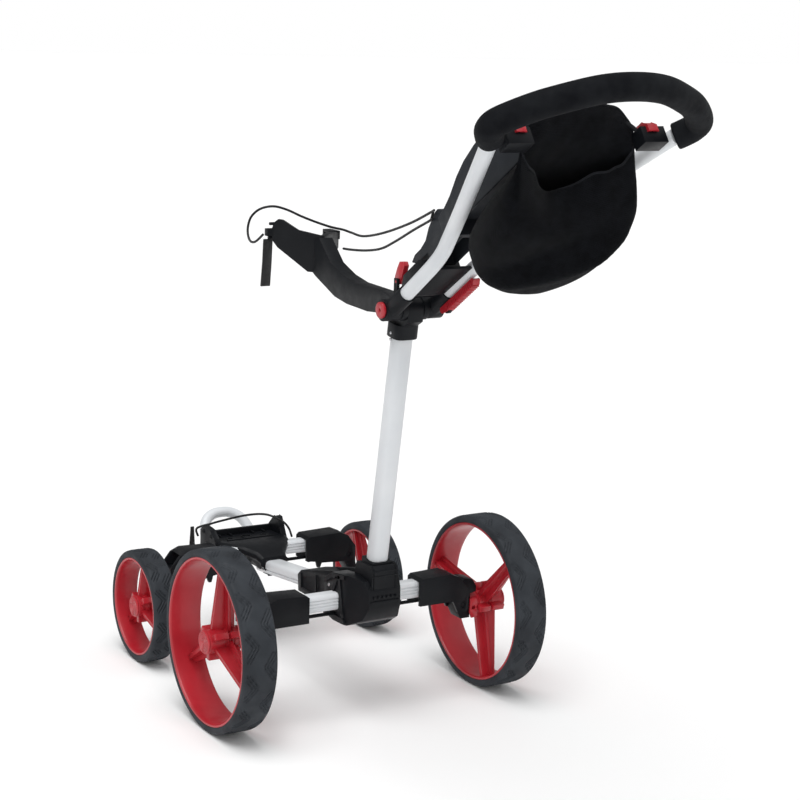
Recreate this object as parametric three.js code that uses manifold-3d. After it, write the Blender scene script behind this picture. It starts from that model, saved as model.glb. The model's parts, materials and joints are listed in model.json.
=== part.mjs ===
// Four-wheel folding golf push trolley, in millimetres, +Z up, travelling towards -Y.
// The handle is at +Y. Lengths along Y are measured from the rear axle and the whole
// trolley is centred on its own footprint at the end of the file.
import * as THREE from 'three';
import { mergeVertices } from 'three/addons/utils/BufferGeometryUtils.js';
import Module from 'manifold-3d';

const wasm = await Module();
wasm.setup();

// ---------- driving dimensions ----------
const GAP = 0.3; // running and seating gap between neighbouring pieces

const REAR = {
  name: 'rear', radius: 145, width: 56, rimRadius: 132.5, centreX: 246.6, axleY: 0,
  hubRadius: 19, hubInner: -41, hubOuter: 25, spokeIn: -21, spokeOutHub: 16, spokeOutRim: 1,
  pivotX: 187, pivotZ: 150, segments: 36,
};
const FRONT = {
  name: 'front', radius: 96.7, width: 43, rimRadius: 84, centreX: 221, axleY: -347,
  hubRadius: 18, hubInner: -32.5, hubOuter: 18, spokeIn: -16, spokeOutHub: 12, spokeOutRim: 1,
  pivotX: 168, pivotZ: 146, segments: 32,
};
const SPOKES = 3;
const SPOKE_THICKNESS = 7;
const AXLE_RADIUS = 5;

const ARM_Y = 4; // centre of the rear arm
const REAR_ARM_Z = 184;
const FRONT_ARM_Z = 168;
const BEAM_SLOPE = 6.2; // degrees, the beam falls towards the front
const BEAM_WIDTH = 34;
const BEAM_HEIGHT = 24;

const POST_PIVOT = { y: 48, z: 212 };
const POST_LEAN = 8.06; // degrees back from upright
const POST_WIDTH = 31;
const POST_DEPTH = 28;
const POST_END = 438;

const BARREL = { y: 130, z: 674 }; // axis that the handle and the bag cradle share
const BARREL_HALF = 50;

const HANDLE_ORIGIN = { y: 150, z: 686 };
const HANDLE_SLOPE = 34.93; // degrees above level
const TUBE_RADIUS = 11;
const GRIP_RADIUS = 18.5;

// ---------- materials ----------
function paint(color, roughness, metalness = 0) {
  return new THREE.MeshStandardMaterial({ color, roughness, metalness });
}
const WHITE = paint(0xd9dcdf, 0.35, 0.1);
const BLACK = paint(0x17181b, 0.55);
const GREY = paint(0x34363a, 0.6);
const RED = paint(0xb01e28, 0.35);
const TYRE = paint(0x2b2d31, 0.85);
const FOAM = paint(0x222326, 0.95);
const MESH_CLOTH = paint(0x141518, 0.9);
const WEBBING = paint(0x121214, 0.95);
const ELASTIC = paint(0x101012, 0.8);
const STEEL = paint(0xb9bcc0, 0.3, 0.9);

// ---------- solids ----------
const rad = THREE.MathUtils.degToRad;

function solid(geometry) {
  const bare = geometry.clone();
  for (const attribute of Object.keys(bare.attributes)) {
    if (attribute !== 'position') bare.deleteAttribute(attribute);
  }
  const merged = mergeVertices(bare, 1e-4);
  return new wasm.Manifold(new wasm.Mesh({
    numProp: 3,
    vertProperties: Float32Array.from(merged.attributes.position.array),
    triVerts: Uint32Array.from(merged.index.array),
  }));
}

function geometryOf(manifold) {
  const mesh = manifold.getMesh();
  const geometry = new THREE.BufferGeometry();
  geometry.setAttribute('position', new THREE.BufferAttribute(mesh.vertProperties, 3));
  geometry.setIndex(new THREE.BufferAttribute(mesh.triVerts, 1));
  geometry.computeVertexNormals();
  return geometry;
}

const union = (...pieces) => pieces.reduce((whole, piece) => whole.add(piece));
const cut = (whole, ...holes) => holes.reduce((left, hole) => left.subtract(hole), whole);

function box(x0, x1, y0, y1, z0, z1) {
  const geometry = new THREE.BoxGeometry(x1 - x0, y1 - y0, z1 - z0);
  geometry.translate((x0 + x1) / 2, (y0 + y1) / 2, (z0 + z1) / 2);
  return solid(geometry);
}

function shapeOf(points) {
  return new THREE.Shape(points.map(([a, b]) => new THREE.Vector2(a, b)));
}

function extrude(shape, depth) {
  return new THREE.ExtrudeGeometry(shape, { depth, bevelEnabled: false, curveSegments: 6 });
}

// An outline in (y, z), from x0 to x1.
function prismX(points, x0, x1) {
  const geometry = extrude(points.isShape ? points : shapeOf(points), x1 - x0);
  const turn = new THREE.Matrix4().set(0, 0, 1, x0, 1, 0, 0, 0, 0, 1, 0, 0, 0, 0, 0, 1);
  return solid(geometry.applyMatrix4(turn));
}

// An outline in (x, z), from y0 to y1.
function prismY(points, y0, y1) {
  const geometry = extrude(points.isShape ? points : shapeOf(points), y1 - y0);
  const turn = new THREE.Matrix4().set(1, 0, 0, 0, 0, 0, -1, y1, 0, 1, 0, 0, 0, 0, 0, 1);
  return solid(geometry.applyMatrix4(turn));
}

function rodX(radius, x0, x1, y, z, sides = 20) {
  const geometry = new THREE.CylinderGeometry(radius, radius, x1 - x0, sides);
  geometry.rotateZ(Math.PI / 2);
  geometry.translate((x0 + x1) / 2, y, z);
  return solid(geometry);
}

function rodY(radius, y0, y1, x, z, sides = 20) {
  const geometry = new THREE.CylinderGeometry(radius, radius, y1 - y0, sides);
  geometry.translate(x, (y0 + y1) / 2, z);
  return solid(geometry);
}

function rodZ(radius, z0, z1, x, y, sides = 20) {
  const geometry = extrude(circleShape(radius, sides), z1 - z0);
  geometry.translate(x, y, z0);
  return solid(geometry);
}

// A profile in (radius, x) turned about the X axis.
function turnedX(profile, segments) {
  const points = profile.map(([r, x]) => new THREE.Vector2(r, x));
  const geometry = new THREE.LatheGeometry([...points, points[0]], segments);
  geometry.rotateZ(-Math.PI / 2);
  const made = solid(geometry);
  return made.volume() < 0 ? solid(geometry.scale(1, 1, -1)) : made;
}

function roundedSection(width, height, corner, steps = 3) {
  const points = [];
  const corners = [[1, 1, 0], [-1, 1, 90], [-1, -1, 180], [1, -1, 270]];
  for (const [sx, sy, start] of corners) {
    for (let i = 0; i <= steps; i += 1) {
      const angle = rad(start + (90 * i) / steps);
      points.push([
        sx * (width / 2 - corner) + corner * Math.cos(angle),
        sy * (height / 2 - corner) + corner * Math.sin(angle),
      ]);
    }
  }
  return points;
}

function circleShape(radius, sides) {
  const shape = new THREE.Shape();
  for (let i = 0; i < sides; i += 1) {
    const angle = (2 * Math.PI * i) / sides;
    const x = radius * Math.cos(angle);
    const y = radius * Math.sin(angle);
    if (i === 0) shape.moveTo(x, y);
    else shape.lineTo(x, y);
  }
  shape.closePath();
  return shape;
}

// A round tube or cord along a smooth curve through the given points.
function sweep(points, radius, sides, steps, tension = 0.5) {
  const route = points.map((point) => new THREE.Vector3(...point));
  const curve = new THREE.CatmullRomCurve3(route, false, 'catmullrom', tension);
  const settings = { steps, extrudePath: curve, bevelEnabled: false };
  return solid(new THREE.ExtrudeGeometry(circleShape(radius, sides), settings));
}

function moved(manifold, matrix) {
  return solid(geometryOf(manifold).applyMatrix4(matrix));
}

function turnedAboutX(manifold, degrees, y, z) {
  const matrix = new THREE.Matrix4().makeTranslation(0, y, z);
  matrix.multiply(new THREE.Matrix4().makeRotationX(rad(degrees)));
  return moved(manifold, matrix);
}

const trolley = new THREE.Group();

function add(name, manifold, material, parent = trolley) {
  const mesh = new THREE.Mesh(geometryOf(manifold), material);
  mesh.name = name;
  parent.add(mesh);
  return mesh;
}

// ---------- frames that sub-assemblies are drawn in ----------
// Post frame: X across, Y back, Z up along the post from its pivot.
const inPost = (manifold) => turnedAboutX(manifold, -POST_LEAN, POST_PIVOT.y, POST_PIVOT.z);
// Handle frame: X across, Y along the tubes away from the barrel, Z square to their plane.
const inHandle = (manifold) => turnedAboutX(manifold, HANDLE_SLOPE, HANDLE_ORIGIN.y, HANDLE_ORIGIN.z);
const handleSin = Math.sin(rad(HANDLE_SLOPE));
const handleCos = Math.cos(rad(HANDLE_SLOPE));
const barrelDy = BARREL.y - HANDLE_ORIGIN.y;
const barrelDz = BARREL.z - HANDLE_ORIGIN.z;
const BARREL_IN_HANDLE = {
  s: barrelDy * handleCos + barrelDz * handleSin,
  n: -barrelDy * handleSin + barrelDz * handleCos,
};

// ---------- wheels, drawn about X with the outer face at +X ----------
function tyre(wheel) {
  const { radius: r, width: w, rimRadius } = wheel;
  const h = w / 2;
  return turnedX([
    [rimRadius + GAP, -h], [r - 4, -h + 2.5], [r - 1, -h + 7], [r, -h + 14],
    [r, h - 14], [r - 1, h - 7], [r - 4, h - 2.5], [rimRadius + GAP, h],
  ], wheel.segments);
}

function spoke(wheel) {
  const { hubRadius, rimRadius, spokeIn, spokeOutHub, spokeOutRim } = wheel;
  const root = hubRadius - 3;
  const tip = rimRadius - 3;
  const half = SPOKE_THICKNESS / 2;
  const blade = prismY([[spokeIn, root], [spokeOutHub, root], [spokeOutRim, tip], [spokeIn, tip]], -half, half);
  const ribTop = 9;
  const ribRoot = 13;
  const rib = prismX([[-ribRoot, root], [ribRoot, root], [ribTop, tip], [-ribTop, tip]], -11, -6);
  return union(blade, rib);
}

function rim(wheel) {
  const { width: w, rimRadius, hubRadius, hubInner, hubOuter } = wheel;
  const h = w / 2 - 0.6;
  const wall = 4.5;
  let whole = turnedX([
    [rimRadius, -h], [rimRadius, h], [rimRadius - 2, h], [rimRadius - wall, h - 6],
    [rimRadius - wall, -h + 6], [rimRadius - 2, -h],
  ], wheel.segments);
  for (let i = 0; i < SPOKES; i += 1) {
    const turn = new THREE.Matrix4().makeRotationX(rad((360 * i) / SPOKES));
    const back = new THREE.Matrix4().makeRotationX(rad((360 * i) / SPOKES + 180));
    const block = box(hubInner + 13, hubOuter - 4, -5, 5, hubRadius - 3, hubRadius + 11);
    whole = union(whole, moved(spoke(wheel), turn), moved(block, back));
  }
  whole = union(whole, rodX(hubRadius, hubInner, hubOuter, 0, 0, 24));
  return cut(whole, rodX(AXLE_RADIUS + GAP, hubInner - 1, hubOuter + 1, 0, 0, 20));
}

function hubCap(wheel) {
  const r = wheel.hubRadius;
  const x = wheel.hubOuter + GAP;
  const profile = [[0, x], [r, x], [r, x + 2.2], [r - 2.5, x + 4], [0, x + 4]];
  const geometry = new THREE.LatheGeometry(profile.map(([a, b]) => new THREE.Vector2(a, b)), 24);
  return solid(geometry.rotateZ(-Math.PI / 2));
}

// side: +1 is the pusher's left (+X), -1 the right. spin: degrees, sets where the spokes stand.
function addWheel(wheel, side, spin) {
  const word = `${wheel.name}_${side > 0 ? 'left' : 'right'}`;
  const group = new THREE.Group();
  group.position.set(side * wheel.centreX, wheel.axleY, wheel.radius);
  group.rotation.z = side > 0 ? 0 : Math.PI;
  trolley.add(group);
  const spun = new THREE.Group();
  spun.rotation.x = rad(spin);
  group.add(spun);
  add(`tyre_${word}`, tyre(wheel), TYRE, spun);
  add(`rim_${word}`, rim(wheel), RED, spun);
  add(`hub_cap_${word}`, hubCap(wheel), RED, spun);
  const start = wheel === REAR ? 194.3 : 176.6;
  add(`axle_${word}`, rodX(AXLE_RADIUS, start - wheel.centreX, wheel.hubOuter - 2, 0, 0, 20), STEEL, group);
}

addWheel(REAR, 1, 0);
addWheel(REAR, -1, 45);
addWheel(FRONT, 1, 4);
addWheel(FRONT, -1, -20);

// ---------- wheel knuckles: they swing the wheels flat under the trolley ----------
const KNUCKLE_HALF = 15;
const TRUNNION_RADIUS = 5;
const REAR_KNUCKLE = [
  [179, 154], [180, 138], [187, 124], [204.8, 124], [204.8, 166], [216, 168],
  [216, 178], [208, 190], [192, 193], [183, 187],
];
const FRONT_KNUCKLE = [
  [160, 152], [164, 158], [176, 158], [184, 150], [188, 112], [188, 82], [176, 82], [174.5, 112], [160, 136],
];
const flip = (points, side) => (side > 0 ? points : points.map(([x, z]) => [-x, z]).reverse());

function knuckle(wheel, side) {
  const outline = wheel === REAR ? REAR_KNUCKLE : FRONT_KNUCKLE;
  const y = wheel === REAR ? ARM_Y : wheel.axleY;
  const body = prismY(flip(outline, side), y - KNUCKLE_HALF, y + KNUCKLE_HALF);
  const reach = KNUCKLE_HALF + 5;
  const pin = rodY(TRUNNION_RADIUS, y - reach, y + reach, side * wheel.pivotX, wheel.pivotZ);
  const inner = side * (wheel === REAR ? 194 : 176.3);
  const outer = side * 230;
  const bore = rodX(AXLE_RADIUS + GAP, Math.min(inner, outer), Math.max(inner, outer), wheel.axleY, wheel.radius);
  return cut(union(body, pin), bore);
}

// ---------- arm casings: open channels that hold the cross bars and the knuckles ----------
const CASING_HALF = 21;
const REAR_CASING = [
  [103, 158], [103, 200], [108, 204], [160, 206], [178, 199], [197, 176], [198, 142],
  [192, 137], [178, 138], [168, 158],
];
const FRONT_CASING = [
  [82, 142], [82, 182], [87, 186], [150, 188], [166, 181], [182, 160], [182, 141], [168, 133],
  [113, 136], [110, 128], [105, 128], [102, 139],
];

function casing(wheel, side) {
  const isRear = wheel === REAR;
  const y = isRear ? ARM_Y : wheel.axleY;
  const armZ = isRear ? REAR_ARM_Z : FRONT_ARM_Z;
  const armHalf = isRear ? 14 : 12;
  const innerX = isRear ? 166 : 146;
  const shell = prismY(flip(isRear ? REAR_CASING : FRONT_CASING, side), y - CASING_HALF, y + CASING_HALF);
  const slot = KNUCKLE_HALF + GAP;
  const channel = (x0, x1, z0, z1) => (side > 0
    ? box(x0, x1, y - slot, y + slot, z0, z1) : box(-x1, -x0, y - slot, y + slot, z0, z1));
  const cheekHole = rodY(TRUNNION_RADIUS + GAP, y - 30, y + 30, side * wheel.pivotX, wheel.pivotZ);
  return cut(
    shell,
    channel(innerX, 260, 100, armZ + armHalf + 2),
    channel(60, innerX + 1, 100, armZ - armHalf + 1),
    channel(60, innerX, armZ - armHalf - GAP, armZ + armHalf + GAP),
    cheekHole,
  );
}

// ---------- cross bars: extrusions with three flutes along each flank ----------
const FLUTES = [5, 0, -5];
const FLUTE_HALF = 1.7;
const FLUTE_DEPTH = 1.8;
function barOutline(width, height) {
  const w = width / 2;
  const h = height / 2;
  const fluted = FLUTES.flatMap((z) => [[w, z + FLUTE_HALF], [w - FLUTE_DEPTH, z], [w, z - FLUTE_HALF]]);
  const half = [[w - 4, h], [w - 1, h - 3], ...fluted, [w - 1, -h + 3], [w - 4, -h]];
  return [...half, ...half.map(([a, b]) => [-a, b]).reverse()].reverse();
}

function crossBar(y, z, width, height, half) {
  const outline = barOutline(width, height).map(([a, b]) => [a + y, b + z]);
  return prismX(outline, -half, half);
}

function linkRod(wheel, side) {
  const isRear = wheel === REAR;
  const y = isRear ? ARM_Y : wheel.axleY;
  const z = isRear ? 162 : 144;
  const inner = side * (isRear ? 33 : 24);
  const outer = side * (isRear ? 150 : 124);
  return rodX(3, Math.min(inner, outer), Math.max(inner, outer), y, z, 12);
}

for (const wheel of [REAR, FRONT]) {
  for (const side of [1, -1]) {
    const word = `${wheel.name}_${side > 0 ? 'left' : 'right'}`;
    add(`knuckle_${word}`, knuckle(wheel, side), BLACK);
    add(`arm_casing_${word}`, casing(wheel, side), BLACK);
    add(`link_rod_${word}`, linkRod(wheel, side), BLACK);
  }
}
const rearBar = { width: 24, height: 28, half: 165 };
const frontBar = { width: 22, height: 24, half: 145 };
add('rear_cross_bar', crossBar(ARM_Y, REAR_ARM_Z, rearBar.width, rearBar.height, rearBar.half), WHITE);
add('front_cross_bar', crossBar(FRONT.axleY, FRONT_ARM_Z, frontBar.width, frontBar.height, frontBar.half), WHITE);

// red catch plates beside the rear knuckles
for (const side of [1, -1]) {
  const outline = flip([[202.5, 134], [206, 124], [217, 126], [217, 150], [214, 158], [202.5, 157]], side);
  const plate = prismY(outline, ARM_Y + KNUCKLE_HALF + GAP, ARM_Y + KNUCKLE_HALF + 5);
  const slotX = side > 0 ? [206, 213] : [-213, -206];
  const catchPlate = cut(plate, box(slotX[0], slotX[1], 0, 60, 139, 145));
  add(`wheel_catch_rear_${side > 0 ? 'left' : 'right'}`, catchPlate, RED);
}

// ---------- centre beam, hub and beam socket ----------
function beam(extra, from, to) {
  const outline = roundedSection(BEAM_WIDTH + 2 * extra, BEAM_HEIGHT + 2 * extra, 7 + extra);
  return turnedAboutX(prismY(outline, from, to), BEAM_SLOPE, 0, REAR_ARM_Z);
}
function beamWithGrooves() {
  const groove = (side) => {
    const outline = flip([[BEAM_WIDTH / 2 - 2.5, -4], [BEAM_WIDTH / 2 + 3, -7], [BEAM_WIDTH / 2 + 3, -1]], side);
    return turnedAboutX(prismY(outline, -500, 50), BEAM_SLOPE, 0, REAR_ARM_Z);
  };
  return cut(beam(0, -333, -32), groove(1), groove(-1));
}
add('centre_beam', beamWithGrooves(), WHITE);

const HUB_FRONT = -30;
const PIVOT_PIN_HALF = 32; // the pin is covered at both ends by the sides of the hub
function hubBody() {
  const side = [
    [HUB_FRONT, 154], [HUB_FRONT, 214], [-6, 228], [40, 234], [70, 230], [82, 216], [84, 190], [70, 166], [40, 151], [0, 149],
  ];
  const block = prismX(side, -46, 46);
  const plan = [[-46, HUB_FRONT], [46, HUB_FRONT], [46, 34], [26, 90], [-26, 90], [-46, 34]];
  const planGeometry = extrude(shapeOf(plan), 120);
  planGeometry.translate(0, 0, 140);
  const slot = 18.5;
  const slotBack = 68.6;
  const bar = barOutline(rearBar.width + 2 * GAP, rearBar.height + 2 * GAP);
  return cut(
    block.intersect(solid(planGeometry)),
    box(-slot, slot, HUB_FRONT - 5, slotBack, 197, 260),
    box(-slot, slot, ARM_Y + rearBar.width / 2, slotBack, 188, 260),
    prismX(bar.map(([a, b]) => [a + ARM_Y, b + REAR_ARM_Z]), -60, 60),
    rodX(3.4, -60, 60, ARM_Y, 162, 12),
    rodX(6 + GAP, -PIVOT_PIN_HALF - GAP, PIVOT_PIN_HALF + GAP, POST_PIVOT.y, POST_PIVOT.z),
  );
}
add('hub_body', hubBody(), BLACK);

function beamSocket() {
  const side = [[-160, 150], [-163, 178], [-152, 188], [-96, 203], [-50, 215], [HUB_FRONT - GAP, 215], [HUB_FRONT - GAP, 156], [-70, 150]];
  const block = prismX(side, -24, 24);
  const panel = [[-148, 160], [-148, 178], [-96, 192], [-44, 204], [-44, 166], [-70, 160]];
  const inset = prismX(panel, 22.5, 30);
  const otherInset = prismX(panel, -30, -22.5);
  return cut(block, beam(GAP, -400, 50), box(-17.5, 17.5, -120, 0, 199.5, 260), inset, otherInset);
}
add('beam_socket', beamSocket(), BLACK);
add('post_pivot_pin', rodX(6, -PIVOT_PIN_HALF, PIVOT_PIN_HALF, POST_PIVOT.y, POST_PIVOT.z), STEEL);

// ---------- lower bag platform and front loop ----------
const LOOP_RADIUS = 9.5;
const LOOP_PATH = [
  [-44, -452, 137], [-44.5, -470, 156], [-43, -485, 172], [-34, -499, 187], [-18, -507, 195],
  [0, -509, 197], [18, -507, 195], [34, -499, 187], [43, -485, 172], [44.5, -470, 156], [44, -452, 137],
];
function platform() {
  const plan = shapeOf([
    [-50, -470], [50, -470], [60, -452], [74, -432], [74, -396], [62, -340], [48, -316], [24, -292],
    [-24, -292], [-48, -316], [-62, -340], [-74, -396], [-74, -432], [-60, -452],
  ]);
  const deck = extrude(plan, 100);
  deck.translate(0, 0, 110);
  const side = [
    [-470, 140], [-470, 160], [-440, 176], [-400, 177], [-366, 183], [-326, 183], [-292, 168],
    [-292, 154], [-380, 152], [-440, 140],
  ];
  const plate = solid(deck).intersect(prismX(side, -90, 90));
  const belly = prismX([[-442, 126], [-442, 168], [-306, 164], [-296, 154], [-300, 130], [-330, 124]], -30, 30);
  const toe = prismX([[-466, 128], [-470, 150], [-440, 172], [-430, 160], [-440, 126]], -58, 58);
  const wall = box(-66, 66, -438, -431, 168, 187);
  const hookedEar = prismX(
    [[-440, 160], [-440, 190], [-430, 199], [-404, 197], [-386, 186], [-380, 176], [-386, 160]], 62, 73,
  );
  const pointedEar = prismX([[-438, 160], [-438, 186], [-416, 207], [-406, 206], [-382, 164]], -73, -62);
  const earHoles = [
    rodX(3, 58, 80, -428, 189, 12), rodX(3, 58, 80, -398, 187, 12), rodX(4, -80, -58, -412, 192, 12),
  ];
  const recess = (x, y, radius) => rodZ(radius, 171, 200, x, y);
  const bar = barOutline(frontBar.width + 2 * GAP, frontBar.height + 2 * GAP);
  return cut(
    union(plate, belly, toe, wall, hookedEar, pointedEar),
    beam(GAP, -333.5, 50),
    prismX(bar.map(([a, b]) => [a + FRONT.axleY, b + FRONT_ARM_Z]), -100, 100),
    sweep(LOOP_PATH, LOOP_RADIUS + GAP, 10, 24),
    recess(0, -404, 10),
    recess(34, -398, 7),
    recess(-34, -398, 7),
    ...earHoles,
    rodX(3.4, 7, 90, FRONT.axleY, 144, 12),
    rodX(3.4, -90, -7, FRONT.axleY, 144, 12),
  );
}
add('bag_platform', platform(), BLACK);
add('front_loop', sweep(LOOP_PATH, LOOP_RADIUS, 10, 24), WHITE);

const LOWER_CORD = [
  [80, -436, 180], [82, -437, 194], [66, -415, 206], [46, -396, 216], [22, -381, 224], [-4, -372, 227],
  [-28, -376, 222], [-52, -388, 210], [-70, -394, 199], [-81, -394, 186], [-84, -388, 172],
];
add('lower_bungee', sweep(LOWER_CORD, 2.1, 8, 30), ELASTIC);
add('lower_strap', prismY([[84, 196], [91, 196], [91, 190], [93, 158], [82, 158], [84, 190]], -446, -443), WEBBING);

// ---------- post ----------
function postFoot() {
  const sleeve = prismX([[-17, -8], [17, -8], [17, 50], [-17, 50]], -18, 18);
  const eye = rodX(19, -18, 18, 0, 0, 28);
  const pocket = roundedSection(POST_WIDTH + 2 * GAP, POST_DEPTH + 2 * GAP, 10 + GAP);
  const pocketGeometry = extrude(shapeOf(pocket), 60);
  pocketGeometry.translate(0, 0, 22);
  const pin = rodX(6 + GAP, -30, 30, 0, 0);
  return inPost(cut(union(sleeve, eye), solid(pocketGeometry), pin));
}
function post() {
  const outline = shapeOf(roundedSection(POST_WIDTH, POST_DEPTH, 10));
  const tube = extrude(outline, POST_END - 22.3);
  tube.translate(0, 0, 22.3);
  return inPost(solid(tube));
}
const BARREL_IN_POST = {
  v: (BARREL.y - POST_PIVOT.y) * Math.cos(rad(POST_LEAN)) - (BARREL.z - POST_PIVOT.z) * Math.sin(rad(POST_LEAN)),
  w: (BARREL.y - POST_PIVOT.y) * Math.sin(rad(POST_LEAN)) + (BARREL.z - POST_PIVOT.z) * Math.cos(rad(POST_LEAN)),
};
function head() {
  const { v, w } = BARREL_IN_POST;
  const collarGeometry = extrude(shapeOf(roundedSection(41, 38, 11)), 23);
  collarGeometry.translate(0, 0, 419);
  const neck = prismX([[-3, 441], [19, 441], [33, 452], [v + 17, w], [v, w], [-3, 452]], -13.5, 13.5);
  const eye = rodX(17, -13.5, 13.5, v, w, 28);
  const pocketGeometry = extrude(shapeOf(roundedSection(POST_WIDTH + 2 * GAP, POST_DEPTH + 2 * GAP, 10 + GAP)), 100);
  pocketGeometry.translate(0, 0, POST_END + GAP - 100);
  const bolt = rodX(6 + GAP, -30, 30, v, w);
  return inPost(cut(union(solid(collarGeometry), neck, eye), solid(pocketGeometry), bolt));
}
add('post_foot', postFoot(), BLACK);
add('post', post(), WHITE);
add('post_head', head(), BLACK);

// ---------- barrel bolt and cap ----------
function barrelBolt() {
  const shank = rodX(6, -BARREL_HALF - 2, BARREL_HALF, BARREL.y, BARREL.z);
  return union(shank, rodX(11, -BARREL_HALF - 5, -BARREL_HALF - GAP, BARREL.y, BARREL.z, 6));
}
add('barrel_bolt', barrelBolt(), STEEL);
function barrelCap() {
  const disc = rodX(12.5, BARREL_HALF + GAP, BARREL_HALF + 5, BARREL.y, BARREL.z, 24);
  return cut(disc, rodX(3.2, BARREL_HALF + 1.5, BARREL_HALF + 9, BARREL.y, BARREL.z, 6));
}
add('barrel_cap', barrelCap(), RED);

// ---------- upper bag cradle ----------
function cradle() {
  const arm = prismX([
    [104, 684], [104, 661], [20, 653], [-45, 655], [-85, 661], [-150, 685], [-160, 690],
    [-160, 744], [-140, 748], [-100, 713], [-60, 699], [-20, 692], [60, 690],
  ], -12, 12);
  const fork = (x0, x1) => union(
    prismX([[BARREL.y, 659], [BARREL.y, 689], [98.5, 684], [98.5, 661]], x0, x1),
    rodX(18, x0, x1, BARREL.y, BARREL.z, 28),
  );
  const yokeBar = box(-23.2, 23.2, 98.5, 105, 661, 684);
  const wing = (side, outline) => {
    const plate = prismY(flip(outline, side), -3.5, 3.5);
    const turn = new THREE.Matrix4().makeTranslation(0, -152, 0);
    turn.multiply(new THREE.Matrix4().makeRotationZ(rad(side * -43)));
    return moved(plate, turn);
  };
  const left = wing(1, [
    [0, 690], [22, 690], [74, 727], [83, 738], [84, 757], [81, 767], [74, 773], [66, 772], [40, 757], [0, 750],
  ]);
  const right = wing(-1, [[0, 690], [20, 690], [66, 716], [78, 722], [78, 746], [62, 750], [30, 752], [0, 750]]);
  const lug = box(58, 72, -216, -205, 745, 757);
  const pins = [rodX(2.6, 56, 67, -209, 765, 12), rodX(2.6, 56, 67, -213, 741.6, 12)];
  const clip = cut(
    box(-62, -47, -236, -203, 736, 750),
    rodX(3, -70, -40, -228, 743, 12),
    rodX(3, -70, -40, -216, 743, 12),
  );
  const whole = union(arm, fork(14, 23.2), fork(-23.2, -14), yokeBar, left, right, lug, ...pins, clip);
  return cut(whole, rodX(6 + GAP, -60, 60, BARREL.y, BARREL.z));
}
add('bag_cradle', cradle(), BLACK);
add('cradle_strap', prismX([[-219.6, 739], [-217, 739], [-219, 700], [-223, 660], [-227, 660], [-222, 700]], 56, 73), WEBBING);

const UPPER_CORD = [
  [76, -214, 747], [78, -236, 733], [74, -262, 730], [68, -284, 738], [63, -294, 752], [57, -293, 768],
  [47, -281, 781], [34, -260, 787], [18, -243, 783], [-2, -228, 773], [-24, -217, 764], [-44, -202, 757],
  [-58, -186, 754], [-60, -162, 752], [-48, -100, 754], [-28, 0, 772.7], [-8, 109, 801], [12, 192, 826],
  [26, 209, 829], [29, 208, 819], [14, 190, 813], [-2, 128, 793], [-20, 44, 764], [-36, -24, 744],
  [-48, -91, 732], [-60, -160, 724], [-62, -190, 722],
];
add('upper_bungee', sweep(UPPER_CORD, 2.1, 8, 60), ELASTIC);

// ---------- handle ----------
const TUBE_PATH = [
  [36, -4, 0], [37, 40, 0], [38.5, 90, 0], [40.5, 130, 0], [46, 165, 0], [56, 200, 0], [84, 290, 0],
  [115, 385, 0], [138, 455, 0], [147.5, 484, 0],
];
const mirrored = (points) => points.map(([x, y, z]) => [-x, y, z]);
add('handle_tube_left', inHandle(sweep(TUBE_PATH, TUBE_RADIUS, 12, 20)), WHITE);
add('handle_tube_right', inHandle(sweep(mirrored(TUBE_PATH), TUBE_RADIUS, 12, 20)), WHITE);

const GRIP_HALF = [[148, 483, 0], [155, 491, 0], [163, 506, 0], [160, 525, 0], [131, 555, 0], [100, 576, 0], [50, 600, 0]];
const GRIP_PATH = [...mirrored(GRIP_HALF), [0, 607, 0], ...[...GRIP_HALF].reverse()];
function grip() {
  const tubeSocket = sweep(TUBE_PATH, TUBE_RADIUS + 2, 12, 20);
  const otherSocket = sweep(mirrored(TUBE_PATH), TUBE_RADIUS + 2, 12, 20);
  return inHandle(cut(sweep(GRIP_PATH, GRIP_RADIUS, 12, 40), tubeSocket, otherSocket));
}
add('foam_grip', grip(), FOAM);

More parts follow.
